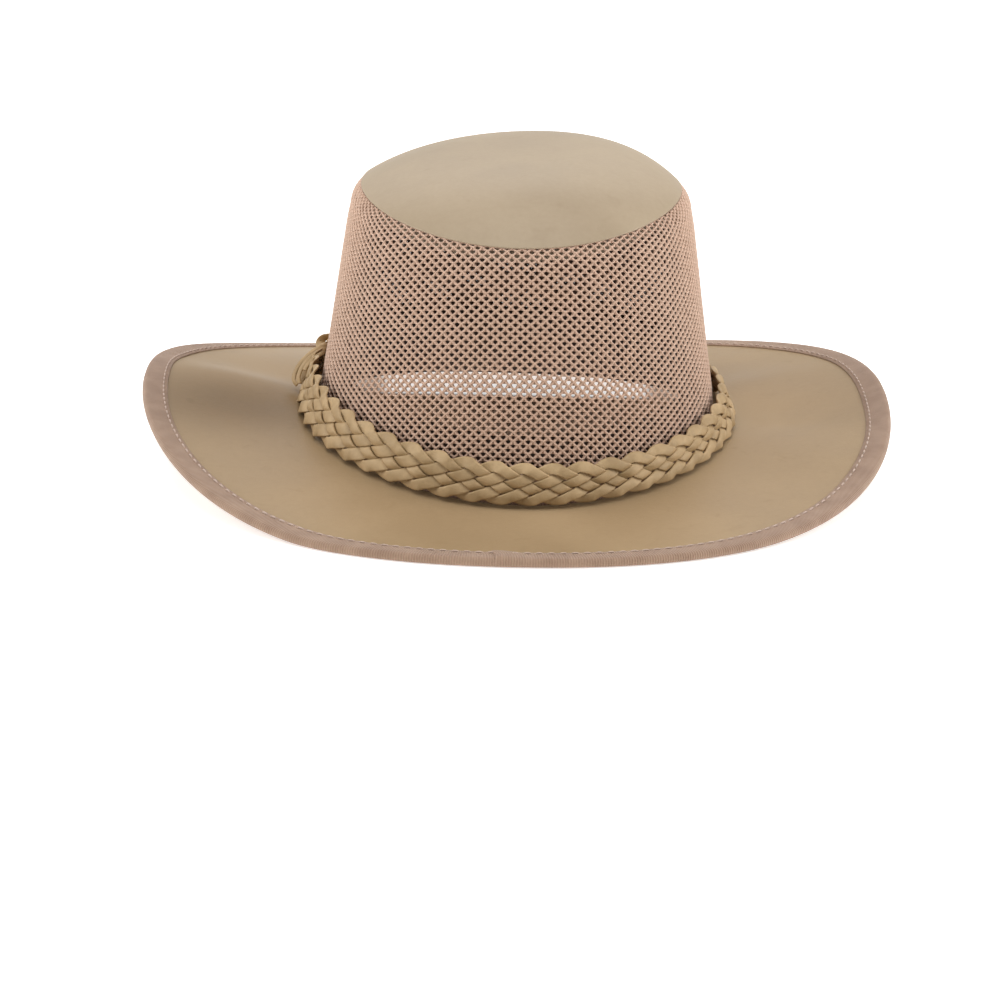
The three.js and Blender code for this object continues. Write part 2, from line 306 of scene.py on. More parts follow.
def makeLeatherGroup():
    # Oiled leather: broad clouds of colour with a finer grain in them, small darker marks,
    # and pores as a fine cell pattern. The height is the pores and the fine grain together.
    inputs = [
        ("Light", "NodeSocketColor", (0.5, 0.4, 0.3, 1)),
        ("Dark", "NodeSocketColor", (0.4, 0.3, 0.2, 1)),
        ("Cloud Scale", "NodeSocketFloat", 22.0),
        ("Pore Scale", "NodeSocketFloat", 1100.0),
        ("Marks", "NodeSocketFloat", 0.3),
        ("Roughness", "NodeSocketFloat", 0.5),
    ]
    outputs = [("Color", "NodeSocketColor"), ("Roughness", "NodeSocketFloat"), ("Height", "NodeSocketFloat")]
    group, entry, leave = newGroup("leatherGrain", inputs, outputs)
    given = entry.outputs
    place = objectPlace(group)
    cloud = addNoise(group, place, given["Cloud Scale"], 5.0)
    fine = addNoise(group, place, 420.0, 4.0, Roughness=0.65)
    marks = addNoise(group, place, 95.0, 3.0, Distortion=0.6)
    pores = addNode(group, "ShaderNodeTexVoronoi", {"Vector": place, "Scale": given["Pore Scale"]})
    cloudShare = rescale(group, cloud, 0.36, 0.64, 0.0, 1.0)
    fineShare = rescale(group, fine, 0.3, 0.7, -0.18, 0.18)
    share = calculate(group, "ADD", cloudShare, fineShare)
    colour = mixColour(group, share, given["Dark"], given["Light"])
    spots = rescale(group, marks, 0.62, 0.78, 0.0, 1.0)
    spotShare = calculate(group, "MULTIPLY", spots, given["Marks"])
    colour = mixColour(group, spotShare, colour, mixColour(group, 1.0, colour, markTint, "MULTIPLY"))
    rough = rescale(group, cloud, 0.3, 0.7, -0.05, 0.06)
    poreHeight = rescale(group, pores.outputs["Distance"], 0.0, 0.6, 0.0, 1.0)
    group.links.new(colour, leave.inputs["Color"])
    group.links.new(calculate(group, "ADD", given["Roughness"], rough), leave.inputs["Roughness"])
    group.links.new(calculate(group, "MULTIPLY_ADD", fine, 0.8, poreHeight), leave.inputs["Height"])
    return group


def newMaterial(name, **settings):
    # A material whose shader takes plain settings on its own sockets.
    material = bpy.data.materials.new(name)
    material.use_nodes = True
    shader = material.node_tree.nodes["Principled BSDF"]
    for key, value in settings.items():
        shader.inputs[key].default_value = value
    return material, material.node_tree, shader


def addBump(tree, shader, height, distance, strength=1.0):
    # The distance is the height of the bumps in millimetres.
    inputs = {"Height": height, "Distance": distance * metresPerMm, "Strength": strength}
    bump = addNode(tree, "ShaderNodeBump", inputs)
    tree.links.new(bump.outputs["Normal"], shader.inputs["Normal"])


leatherGroup = makeLeatherGroup()
leathers = {
    "tipLeather": {
        "Light": (0.392, 0.303, 0.200, 1), "Dark": (0.341, 0.258, 0.165, 1),
        "Cloud Scale": 20.0, "Pore Scale": 1300.0, "Marks": 0.25, "Roughness": 0.5,
    },
    "brimLeather": {
        "Light": (0.372, 0.262, 0.148, 1), "Dark": (0.325, 0.225, 0.124, 1),
        "Cloud Scale": 16.0, "Pore Scale": 1200.0, "Marks": 0.4, "Roughness": 0.42,
    },
    "bandLeather": {
        "Light": (0.482, 0.338, 0.180, 1), "Dark": (0.352, 0.238, 0.117, 1),
        "Cloud Scale": 90.0, "Pore Scale": 1500.0, "Marks": 0.35, "Roughness": 0.55,
    },
    "sweatLeather": {
        "Light": (0.085, 0.05, 0.034, 1), "Dark": (0.055, 0.032, 0.022, 1),
        "Cloud Scale": 40.0, "Pore Scale": 1200.0, "Marks": 0.3, "Roughness": 0.6,
    },
}
leatherFinish = {
    "tipLeather": {"bump": 0.05, "specular": 0.45},
    # The brim's tint is painted shade, for the darker patch beside its left fold.
    "brimLeather": {"bump": 0.06, "specular": 0.12, "paintedShadeTint": (0.2, 0.12, 0.0, 1)},
    "bandLeather": {"bump": 0.08, "specular": 0.35},
    "sweatLeather": {"bump": 0.08, "specular": 0.4},
}
white = (1.0, 1.0, 1.0, 1)


def makeLeather(name):
    finish = leatherFinish[name]
    material, tree, shader = newMaterial(name, **{"Specular IOR Level": finish["specular"]})
    grain = addNode(tree, "ShaderNodeGroup", node_tree=leatherGroup)
    for key, value in leathers[name].items():
        grain.inputs[key].default_value = value
    colour = grain.outputs["Color"]
    if "paintedShadeTint" in finish:
        # Painted shade: the colour turns darker and browner where the point value drops below 1, in the
        # shade beside the brim's left fold.
        tint = mixColour(tree, pointValue(tree, "unshadedShare"), finish["paintedShadeTint"], white)
        colour = mixColour(tree, 1.0, colour, tint, "MULTIPLY")
    tree.links.new(colour, shader.inputs["Base Color"])
    tree.links.new(grain.outputs["Roughness"], shader.inputs["Roughness"])
    addBump(tree, shader, grain.outputs["Height"], finish["bump"], 0.5)
    return material


yarn = {
    "light": (0.588, 0.391, 0.281, 1),
    "middle": (0.348, 0.210, 0.139, 1),
    # The middle and dark colours are painted shade towards each hole.
    "dark": (0.160, 0.088, 0.051, 1),
    # The deepest colour is painted shade, on the ledges that close the front holes.
    "deep": (0.030, 0.016, 0.010, 1),
    "speckScale": 2000.0,
    "speck": 0.3,
}


def makeYarn():
    # Knitted yarn: light on the raised strands and darker towards each hole, painted shade
    # where the yarn sinks, with specks of light where the plies catch it.
    material, tree, shader = newMaterial("meshYarn", **{"Roughness": 0.72, "Sheen Weight": 0.25})
    speck = addNoise(tree, objectPlace(tree), yarn["speckScale"], 2.0)
    speckShare = rescale(tree, speck, 0.35, 0.65, -yarn["speck"], yarn["speck"])
    level = calculate(tree, "ADD", pointValue(tree, "strand"), speckShare)
    deep = mixColour(tree, rescale(tree, level, -0.7, 0.0, 0.0, 1.0), yarn["deep"], yarn["dark"])
    low = mixColour(tree, rescale(tree, level, 0.0, 0.35, 0.0, 1.0), deep, yarn["middle"])
    colour = mixColour(tree, rescale(tree, level, 0.35, 0.85, 0.0, 1.0), low, yarn["light"])
    tree.links.new(colour, shader.inputs["Base Color"])
    addBump(tree, shader, speck, 0.35, 0.6)
    return material


tape = {
    "light": (0.375, 0.244, 0.163, 1),
    "dark": (0.245, 0.144, 0.090, 1),
    "ribPitch": 1.05,
}


def makeTape():
    # Ribbed tape: a wave along the tape makes ribs across it, and noise its wear.
    material, tree, shader = newMaterial("ribbedTape", **{"Roughness": 0.8, "Sheen Weight": 0.2})
    flat = addNode(tree, "ShaderNodeUVMap", uv_map="flat").outputs["UV"]
    split = addNode(tree, "ShaderNodeSeparateXYZ", {"Vector": flat})
    turns = calculate(tree, "MULTIPLY", split.outputs["X"], 2 * np.pi / tape["ribPitch"])
    rib = rescale(tree, calculate(tree, "SINE", turns), -1.0, 1.0, 0.0, 1.0)
    wear = rescale(tree, addNoise(tree, objectPlace(tree), 120.0, 4.0), 0.3, 0.7, 0.0, 0.6)
    share = calculate(tree, "MULTIPLY_ADD", rib, 0.55, wear)
    tree.links.new(mixColour(tree, share, tape["dark"], tape["light"]), shader.inputs["Base Color"])
    addBump(tree, shader, rib, 0.25, 0.8)
    return material


thread = {"light": (0.66, 0.52, 0.43, 1), "dark": (0.42, 0.30, 0.24, 1), "twistScale": 2200.0}


def makeThread():
    # Sewing thread, whose twist is a fine noise.
    material, tree, shader = newMaterial("edgeThread", **{"Roughness": 0.7, "Sheen Weight": 0.2})
    twist = addNoise(tree, objectPlace(tree), thread["twistScale"], 1.0)
    tree.links.new(mixColour(tree, twist, thread["dark"], thread["light"]), shader.inputs["Base Color"])
    addBump(tree, shader, twist, 0.15)
    return material


tipLeather, brimLeather, bandLeather, sweatLeather = (makeLeather(name) for name in leathers)
meshYarn = makeYarn()
ribbedTape = makeTape()
edgeThread = makeThread()
print("materials ready")

# Tip: a flat dome whose edge turns down inside the wall as a short skirt.
tip = {
    "height": 129.1,
    "roundness": 3.7,
    "frontLean": 4.0,
    "sideLean": 5.3,
    "thickness": 2.0,
    "skirtDrop": 6.0,
    "skirtInset": 1.8,
    "skirtThickness": 1.6,
    "stations": 288,
    "rows": 56,
    "rowCrowding": 1.8,
    "innerReach": 0.97,
    "edgeOver": 0.12,
    "edgeDrop": 0.1,
    "edgeRound": 0.5,
}


def tipSurface(reach, angle):
    # The height falls from the middle to the seam with a power of the reach, and leans a
    # little to the front and to one side.
    reach, angle = np.broadcast_arrays(np.asarray(reach, float), np.asarray(angle, float))
    point = ovalPoint(seam["halfWidth"], seam["halfLength"], base["squareness"], angle) * reach[..., None]
    edge = seamHeight(angle) + wall["gap"] / 2
    lean = tip["sideLean"] * point[..., 0] / seam["halfWidth"]
    lean = lean + tip["frontLean"] * point[..., 1] / seam["halfLength"]
    point[..., 2] = blend(tip["height"], edge, reach ** tip["roundness"]) + lean * (1 - reach * reach)
    return point


def makeTip():
    angle = fullTurn(tip["stations"])
    # Rows lie closer together towards the edge, where the dome bends most.
    reaches = 1 - (1 - np.linspace(0.0, 1.0, tip["rows"])) ** tip["rowCrowding"]
    outer = tipSurface(reaches[:, None], angle)
    inner = offsetPoint(tipSurface, np.maximum(reaches[:, None], 1e-3), angle, tip["thickness"])
    inner = inner[reaches < tip["innerReach"]]
    inner[0] = inner[0].mean(0)

    def skirt(inset, drop):
        # One round of points below the seam line and inside it.
        row = ovalPoint(seam["halfWidth"] - inset, seam["halfLength"] - inset, base["squareness"], angle)
        row[..., 2] = seamHeight(angle) - drop
        return row[None]

    inside = tip["skirtInset"] + tip["skirtThickness"]
    lip = tip["edgeRound"]
    rows = [
        outer,
        skirt(-tip["edgeOver"], tip["edgeDrop"]),
        skirt(0.0, lip),
        skirt(tip["skirtInset"], lip),
        skirt(tip["skirtInset"], tip["skirtDrop"]),
        skirt(inside, tip["skirtDrop"]),
        inner[::-1],
    ]
    points = closeRound(np.concatenate(rows))
    makePiece("crown_tip_leather", points, tipLeather, sharpAngle=50, nodes=["crown_tip"])


makeTip()

# Net: knitting whose columns stand upright and whose rows lie level as seen from behind.
# Cells are diamonds, each with raised strands round it, a plate above and a hole below.
net = {
    "cellWidth": 4.05,
    "cellHeight": 3.5,
    "levelHeight": 60.0,
    "rowTilt": 0.30,
    "sideStretch": {"from": 0.45, "to": 0.8, "most": 0.12},
    "leanSoftness": 0.05,
    "footUp": 9.5,
    "topRise": 0.997,
    "tableSteps": {"turn": 720, "rise": 48, "coarse": 8},
    "rowReach": (80, 140),
    "spareColumns": 8,
    "settlingRounds": 10,
    "edgeShare": {"along": 0.48, "across": 0.45},
    "ringShares": [0.0, 0.2, 0.5, 1.0],
    "holeShadeFall": {"from": 0.15, "to": 0.9, "most": 0.7},
    "heightFall": {"from": 0.0, "to": 1.0, "most": 0.7},
    "backHeight": -1.15,
    "backStrand": 0.4,
    # Over the front, dark ledges of painted shade mostly close the holes from inside.
    "shadeLedgeSine": (0.15, 0.5),
    "shadeLedgeDepth": 0.3,
    "shadeLedgeStrand": -1.0,
    "strandBow": 0.09,
    "holeMiddle": (0.0, -0.15),
    "holeSpread": 0.12,
    "spreadSeed": 5,
    "shadeLedgeOpening": 0.12,
    "acrossShift": -1.89,
    "alongShift": -0.46,
    "pieces": {"back": (208, 332), "right": (332, 450), "left": (90, 208)},
}
# The right half of a hole from its top to its lowest point, as shares of a cell's size.
holeOutline = {
    "across": [0.0, 0.17, 0.235, 0.13, 0.0],
    "along": [0.05, 0.045, -0.06, -0.25, -0.40],
}


def netTables():
    # Going round from the middle of the back: the length along a level line, shortened at
    # the sides, the wall's half width there, how much a column shifts as the wall narrows,
    # how far a row drops from the line, and the slant height of each rise above the line.
    turnSteps, riseSteps, coarseStep = net["tableSteps"].values()
    angle = np.radians(270) + np.linspace(-np.pi, np.pi, 2 * turnSteps + 1)
    levelRise = (net["levelHeight"] - baseHeight(angle)) / (seamHeight(angle) - baseHeight(angle))
    level = wallSurface(levelRise, angle)
    lengths = np.linalg.norm(np.diff(level, axis=0), axis=1)
    stretch = net["sideStretch"]
    shorter = 1 - stretch["most"] * smoothStep(np.abs(np.cos(angle)), stretch["from"], stretch["to"])
    arc = np.concatenate([[0.0], np.cumsum(lengths * (shorter[1:] + shorter[:-1]) / 2)])
    arc -= arc[turnSteps]
    slope = np.gradient(level[:, 0], arc)
    lean = np.cos(angle) * slope ** 3 / (slope ** 4 + net["leanSoftness"])
    rises = np.linspace(0.0, 1.02, riseSteps)
    coarse = angle[::coarseStep]
    column = wallSurface(rises, coarse[:, None])
    slant = np.linalg.norm(np.diff(column, axis=1), axis=2)
    slant = np.concatenate([np.zeros((len(coarse), 1)), np.cumsum(slant, axis=1)], axis=1)
    atLevel = np.array([np.interp(r, rises, line) for r, line in zip(levelRise[::coarseStep], slant)])
    return {
        "angle": angle, "arc": arc, "lean": lean, "rises": rises, "slant": slant - atLevel[:, None],
        "halfWidth": smoothTable(levelRise, wall["rise"], wall["halfWidth"]),
        "drop": net["rowTilt"] * (level[:, 1] - level[turnSteps, 1]),
    }


def slantRow(tables, angle):
    # The slant heights of all rises at each angle, between the table's two nearest columns.
    share = (angle - tables["angle"][0]) / (2 * np.pi) * (len(tables["slant"]) - 1)
    left = np.clip(share.astype(int), 0, len(tables["slant"]) - 2)
    part = (share - left)[:, None]
    return blend(tables["slant"][left], tables["slant"][left + 1], part)


def riseAt(tables, angle, up):
    # Reads the rise that belongs to a slant height, between the two rises on either side.
    rows = slantRow(tables, angle)
    i = np.clip((rows < up[:, None]).sum(1) - 1, 0, rows.shape[1] - 2)
    pick = np.arange(len(up))
    low, high = rows[pick, i], rows[pick, i + 1]
    return blend(tables["rises"][i], tables["rises"][i + 1], (up - low) / (high - low))


def placeOnWall(tables, across, along):
    # The angle, slant height and rise of each flat point. The row gives the slant height,
    # the wall's width there shifts the column, and both settle within a few rounds.
    angle = np.interp(across, tables["arc"], tables["angle"])
    for _ in range(net["settlingRounds"]):
        up = along - np.interp(angle, tables["angle"], tables["drop"])
        rise = riseAt(tables, angle, up)
        width = smoothTable(np.clip(rise, 0.0, 1.0), wall["rise"], wall["halfWidth"])
        width = width - np.interp(angle, tables["angle"], tables["halfWidth"])
        onLine = across - width * np.interp(angle, tables["angle"], tables["lean"])
        angle = np.interp(onLine, tables["arc"], tables["angle"])
    return angle, up, rise, onLine


def netCells(tables):
    # Rows and columns of all diamonds whose middle lies on the wall, and its angle there.
    width, height = net["cellWidth"], net["cellHeight"]
    reach = tables["arc"][-1]
    below, above = (int(part / height) * 2 for part in net["rowReach"])
    columns = int(reach / width) + net["spareColumns"]
    rowRange, columnRange = np.arange(-below, above), np.arange(-columns, columns + 1)
    row, column = (part.ravel() for part in np.meshgrid(rowRange, columnRange, indexing="ij"))
    across = (column + 0.5 * (row % 2)) * width + net["acrossShift"]
    along = row * height / 2 + net["alongShift"]
    angle, up, _, onLine = placeOnWall(tables, across, along)
    rows = slantRow(tables, angle)
    rise = net["footUp"] / (seamHeight(angle) - baseHeight(angle))
    # The foot's slant height lies between those of the two rises on either side of its own.
    share, left = np.modf(rise / tables["rises"][1])
    pick, left = np.arange(len(rows)), left.astype(int)
    foot = blend(rows[pick, left], rows[pick, left + 1], share)
    top = rows[:, np.searchsorted(tables["rises"], net["topRise"])]
    over, beside = net["edgeShare"]["along"] * height, net["edgeShare"]["across"] * width
    inside = (up > foot - over) & (up < top + over) & (np.abs(onLine) < reach + beside)
    cells = {"row": row, "column": column, "across": across, "along": along, "angle": angle}
    return {key: value[inside] for key, value in cells.items()}


def cellOutlines():
    # Eight points round a diamond and round its hole, from the right corner towards the
    # top, as shares of a cell's size. The diamond's sides bow downwards.
    corner = np.array([[0.5, 0.0], [0.0, 0.5], [-0.5, 0.0], [0.0, -0.5], [0.5, 0.0]])
    share = (np.arange(2) / 2)[:, None]
    diamond = np.concatenate([blend(corner[k], corner[k + 1], share) for k in range(4)])
    diamond[1::2] += net["strandBow"] * np.array([[-1, -1], [1, -1], [-1, -1], [1, -1]])
    half = np.column_stack([holeOutline["across"], holeOutline["along"]])
    mirrored = half * [-1, 1]
    hole = np.concatenate([half[2::-1], mirrored[1:], half[3:2:-1]])
    return diamond, hole


def shadeLedgeShare(angle):
    # The holes are open at the back and sides. Over the front a dark ledge of painted shade inside each hole
    # mostly closes it.
    return smoothStep(np.sin(angle), *net["shadeLedgeSine"])


def netSpot(tables, flat, height):
    # The point of the wall that belongs to a flat point, set off by a height.
    angle, _, rise, _ = placeOnWall(tables, flat[..., 0].ravel(), flat[..., 1].ravel())
    low = net["footUp"] / (seamHeight(angle) - baseHeight(angle))
    rise = np.clip(rise, low, net["topRise"])
    return offsetPoint(wallSurface, rise, angle, height.ravel()).reshape(flat.shape[:2] + (3,))


def makeNet():
    # Every cell is a stack of eight-cornered rings from the diamond in to the hole, and a
    # last one behind the diamond, all in one array over the cells.
    tables = netTables()
    cells = netCells(tables)
    diamond, hole = cellOutlines()
    size = np.array([net["cellWidth"], net["cellHeight"]])
    middle = np.column_stack([cells["across"], cells["along"]])[:, None]
    spread = net["holeSpread"] * np.random.default_rng(net["spreadSeed"]).uniform(-1, 1, len(middle))
    hole = net["holeMiddle"] + (hole - net["holeMiddle"]) * (1 + spread)[:, None, None]
    gap = np.linalg.norm((hole - diamond) * size, axis=-1)
    points, strands = [], []
    for share in net["ringShares"]:
        # Strands darken, as painted shade, and sink with the real distance from the diamond's side.
        strand, sunk = (fall["most"] * smoothStep(share * gap, fall["from"], fall["to"])
                        for fall in (net["holeShadeFall"], net["heightFall"]))
        points.append(netSpot(tables, middle + blend(diamond, hole, share) * size, -sunk))
        strands.append(1 - strand)
    # Where a hole is closed, a dark ledge of painted shade runs in from its rim, set a little deeper.
    shadeLedge = shadeLedgeShare(cells["angle"])[:, None]
    small = net["holeMiddle"] + (hole - net["holeMiddle"]) * net["shadeLedgeOpening"]
    inner = blend(hole, small, shadeLedge[..., None])
    points.append(netSpot(tables, middle + inner * size, -sunk - net["shadeLedgeDepth"] * shadeLedge))
    strands.append(blend(1 - strand, net["shadeLedgeStrand"], shadeLedge))
    points.append(netSpot(tables, middle + diamond * size, np.full(gap.shape, net["backHeight"])))
    strands.append(np.full(gap.shape, net["backStrand"]))
    count, depth = len(diamond), len(points)
    points = np.stack(points, 1)
    strands = np.stack(strands, 1)
    number = np.arange(points.shape[0] * depth * count).reshape(-1, depth, count)
    ahead = np.roll(number, -1, axis=2)
    bands = [np.stack([number[:, k], ahead[:, k], ahead[:, k + 1], number[:, k + 1]], -1)
             for k in range(depth - 1)]
    walls = np.stack([number[:, 0], number[:, -1], ahead[:, -1], ahead[:, 0]], -1)
    degrees = np.degrees(cells["angle"]) % 360
    for side, (start, end) in net["pieces"].items():
        chosen = (degrees - start) % 360 < (end - start)
        faces = [band[chosen].reshape(-1, 4) for band in bands]
        # A wall closes each side of a diamond that has no neighbour in the same piece. A
        # cell's code is its column in the last three digits and its row before them.
        row, column = cells["row"][chosen], cells["column"][chosen]
        code, odd = 1000 * row + column, row % 2
        steps = [1000 + odd, 1000 + odd - 1, -1000 + odd - 1, -1000 + odd]
        for quarter, step in enumerate(steps):
            alone = ~np.isin(code + step, code)
            faces.append(walls[chosen][alone, 2 * quarter:2 * quarter + 2].reshape(-1, 4))
        makePiece("crown_net_" + side, points, meshYarn, np.concatenate(faces),
                  values={"strand": strands}, sharpAngle=75, nodes=["crown_mesh"])


makeNet()

# The net's plain lower edge behind the plait, and the sewn line where its ends meet.
netFoot = {"low": -1.5, "high": 10.2, "outside": -0.15, "inside": -1.1, "strand": 0.5, "stations": 240}
netJoin = {
    "at": 90.0, "width": 3.6, "low": 8.0, "topRise": 0.995, "outside": 0.35, "inside": -1.3,
    "strand": 0.55, "rows": 60, "sides": 12,
}


def makeNetFoot():
    # A ring with a plain section between two heights over the base line.
    angle = fullTurn(netFoot["stations"])
    tall = seamHeight(angle) - baseHeight(angle)
    low, high, outside, inside = (netFoot[key] for key in ("low", "high", "outside", "inside"))
    section = [(low, outside), (high, outside), (high, inside), (low, inside), (low, outside)]
    rows = [offsetPoint(wallSurface, up / tall, angle, out) for up, out in section]
    points = closeRound(np.stack(rows))
    strand = np.full(points.shape[:2], netFoot["strand"])
    makePiece("net_foot", points, meshYarn, values={"strand": strand}, sharpAngle=40)


def makeNetJoin():
    # A flat strip up the wall, as a section with rounded sides carried from foot to seam.
    turn = fullTurn(netJoin["sides"])
    middle = np.radians(netJoin["at"])
    depth = (netJoin["outside"] + netJoin["inside"]) / 2
    reach = (netJoin["outside"] - netJoin["inside"]) / 2
    low = netJoin["low"] / (seamHeight(middle) - baseHeight(middle))
    rise = np.linspace(low, netJoin["topRise"], netJoin["rows"])
    ends = np.concatenate([[low], rise, [netJoin["topRise"]]])
    closing = np.concatenate([[0.0], np.ones(netJoin["rows"]), [0.0]])[:, None]
    length = wallSurface(ends, np.full_like(ends, middle))[:, 1][:, None]
    angle = middle + closing * netJoin["width"] / 2 * np.cos(turn) / length
    height = depth + closing * reach * np.sin(turn)
    points = offsetPoint(wallSurface, ends[:, None] + 0 * turn, angle, height)
    strand = np.full(points.shape[:2], netJoin["strand"])
    makePiece("net_join", closeRound(points), meshYarn, values={"strand": strand}, sharpAngle=60)


makeNetFoot()
makeNetJoin()

# Sweatband: a strip of dark leather inside the wall, with a soft upper edge.
sweat = {
    "near": -1.9,
    "thickness": 1.4,
    "lipThinning": 0.05,
    "capRise": 0.004,
    "low": -0.03,
    "high": 0.27,
    "waver": 0.25,
    "waves": [(3, 0.6, 1.0), (7, 2.1, 0.6)],
    "stations": 288,
    "rows": 14,
}


def makeSweatband():
    # A rounded strip section is carried round inside the wall. It wavers in and out by a
    # small sum of waves, each with a count, a shift and a size, more at its upper edge.
    angle = fullTurn(sweat["stations"])
    middle = sweat["near"] - sweat["thickness"] / 2
    rise = np.linspace(sweat["low"], sweat["high"], sweat["rows"])[:, None]
    waver = sum(size * np.sin(count * angle + shift) for count, shift, size in sweat["waves"])
    free = smoothStep(rise, 0.05, sweat["high"])
    lean = -sweat["waver"] * free * (1 + waver) / 2
    half = sweat["thickness"] / 2 - sweat["lipThinning"]
    outside = offsetPoint(wallSurface, rise, angle, middle + half + lean)
    inside = offsetPoint(wallSurface, rise, angle, middle - half + lean)
    cap = offsetPoint(wallSurface, sweat["high"] + sweat["capRise"], angle, middle + lean[-1])
    points = closeRound(np.concatenate([outside, cap[None], inside[::-1], outside[:1]]))
    makePiece("sweatband_leather", points, sweatLeather, sharpAngle=60, nodes=["sweatband"])


makeSweatband()

# Brim: a sheet from the crown to the bound edge, with broad waves and soft folds.
brim = {
    "halfWidth": 160.2,
    "halfLength": 174.1,
    "squareness": 2.21,
    "thickness": 1.5,
    "sideHollow": 0.7,
    "restSoftness": 1.2,
    "floor": 2.0,
    "stations": 400,
    "rows": 60,
    "edgeIn": 1.7,
    "edgeHeight": 10.9,
}
# The edge's height has waves round the hat, and each fold is a bell across the brim.
edgeWaves = [
    {"count": 1, "lift": 2.1, "at": 129},
    {"count": 2, "lift": 13.5, "at": 5},
    {"count": 3, "lift": 2.9, "at": 44},
    {"count": 4, "lift": 2.4, "at": 5.5},
]
brimFolds = [
    {"at": 177, "spread": 9.5, "peak": 0.5, "lift": 5.0},
    {"at": 340, "spread": 10, "peak": 0.5, "lift": 2.2},
    {"at": 0, "spread": 9, "peak": 0.45, "lift": -2.6},
    {"at": 20, "spread": 10, "peak": 0.4, "lift": 2.4},
]


def restOnFloor(height, floor, softness):
    # Leather that would sink below its resting height lies flat on it, with a soft start.
    above = height - floor
    soft = floor + (above + softness) ** 2 / (4 * softness)
    return np.where(above <= -softness, floor, np.where(above >= softness, height, soft))


def brimSurface(reach, angle):
    # The middle of the sheet, from the crown to the outermost line: a straight way between
    # two ovals, a height that curls up towards the edge, and folds as bells across it.
    reach, angle = np.broadcast_arrays(np.asarray(reach, float), np.asarray(angle, float))
    innerWidth, innerLength = (wall[key][0] + wall["gap"] for key in ("halfWidth", "halfLength"))
    inner = ovalPoint(innerWidth, innerLength, base["squareness"], angle)
    outer = ovalPoint(brim["halfWidth"], brim["halfLength"], brim["squareness"], angle)
    point = blend(inner, outer, reach[..., None])
    start = baseHeight(angle) - brim["thickness"] / 2
    waves = (wave["lift"] * np.cos(wave["count"] * (angle - np.radians(wave["at"]))) for wave in edgeWaves)
    end = brim["edgeHeight"] + sum(waves)
    curl = 1 + brim["sideHollow"] * np.cos(angle) ** 2
    share = np.clip(reach, 1e-9, 1)
    height = start + (end - start) * np.maximum(reach, 0) ** curl
    for fold in brimFolds:
        across = turnFrom(angle, fold)
        along = np.sin(np.pi * share ** (np.log(0.5) / np.log(fold["peak"])))
        height = height + fold["lift"] * along * np.exp(-across * across)
    point[..., 2] = restOnFloor(height, brim["floor"], brim["restSoftness"])
    return point


def reachFromEdge(distance, angle):
    # The share of the brim's width that lies at a distance in from its outermost line.
    width = np.linalg.norm(brimSurface(1.0, angle) - brimSurface(0.0, angle), axis=-1)
    return 1 - distance / width


# Painted shade on the brim: a darker patch beside the left fold, where shade falls.
brimPaintedShades = [
    {"at": 189, "spread": 13, "reach": 0.48, "reachSpread": 0.7, "darker": 0.55},
]


def brimPaintedShade(reach, angle):
    # 1 all over, less a soft bell in angle and reach for each patch of painted shade.
    reach, angle = np.broadcast_arrays(reach, angle)
    unshadedShare = np.ones(reach.shape)
    for place in brimPaintedShades:
        across = turnFrom(angle, place)
        along = (reach - place["reach"]) / place["reachSpread"]
        unshadedShare = unshadedShare - place["darker"] * np.exp(-across ** 2 - along ** 2)
    return unshadedShare


def makeBrim():
    # The sheet's middle is set off by half its thickness, up and down, and closed round.
    angle = fullTurn(brim["stations"])
    share = np.linspace(0.0, 1.0, brim["rows"])[:, None]
    reach = share * reachFromEdge(brim["edgeIn"], angle)
    half = brim["thickness"] / 2
    top, below = (offsetPoint(brimSurface, reach, angle, side * half) for side in (-1, 1))
    points = closeRound(np.concatenate([top, below[::-1], top[:1]]))
    # The level of painted shade at each point, 1 where there is none.
    unshadedShare = brimPaintedShade(np.concatenate([reach, reach[::-1], reach[:1]]), angle)
    makePiece("brim_leather", points, brimLeather, values={"unshadedShare": unshadedShare}, sharpAngle=50, nodes=["brim"])


makeBrim()

# Binding: ribbed tape folded round the edge, sewn on near its inner side, with its end
# lapped over its start.
binding = {
    "width": 10.5,
    "nose": 1.85,
    "noseSteps": 9,
    "face": [(3.6, 1.84), (6.0, 1.68), (8.5, 1.5), (10.25, 1.42), (10.5, 1.2)],
    "inner": 0.86,
    "innerMiddle": 6.0,
    "sheetEnd": 1.35,
    "stations": 640,
}
# The lap lies at an angle in degrees. Its end is a step, and slants back by some degrees.
lap = {
    "at": 267.1, "step": 0.08, "stations": [-0.08, -0.03, 0.03, 0.08], "length": 4.3, "flat": 0.3,
    "slant": 0.95, "spread": 5, "lift": 0.75, "out": 0.35,
}
stitch = {
    "in": 8.7, "pitch": 4.7, "length": 3.1, "radius": 0.36, "sides": 6, "dip": 0.9,
    "sink": {"edge_stitches": 0.08, "edge_stitches_below": 0.4},
    "along": [-1.0, -0.94, -0.75, -0.4, 0.0, 0.4, 0.75, 0.94, 1.0],
    "thick": [0.0, 0.5, 0.85, 1.0, 1.0, 1.0, 0.85, 0.5, 0.0],
}


def bindingSection():
    # Half round at the edge and thinner towards the tape's inner side. Each row is the way
    # in from the outermost line and the way up from the middle of the sheet.
    nose, width = binding["nose"], binding["width"]
    turn = np.linspace(-np.pi / 2, np.pi / 2, binding["noseSteps"])
    rounded = np.column_stack([nose - nose * np.cos(turn), nose * np.sin(turn)])
    inner = [(inward, binding["inner"]) for inward in (width, binding["innerMiddle"], binding["sheetEnd"])]
    upper = np.concatenate([rounded[binding["noseSteps"] // 2:], binding["face"], inner])
    lower = upper[::-1] * [1, -1]
    return np.concatenate([upper, lower])


def lapShare(angle):
    # 1 on top of the lap: it stands up at once at its end and sinks softly the other way.
    turn = np.degrees(angle) % 360 - lap["at"]
    sinking = smoothStep(turn, lap["length"] * lap["flat"], lap["length"])
    return smoothStep(turn, -lap["step"], lap["step"]) * (1 - sinking)


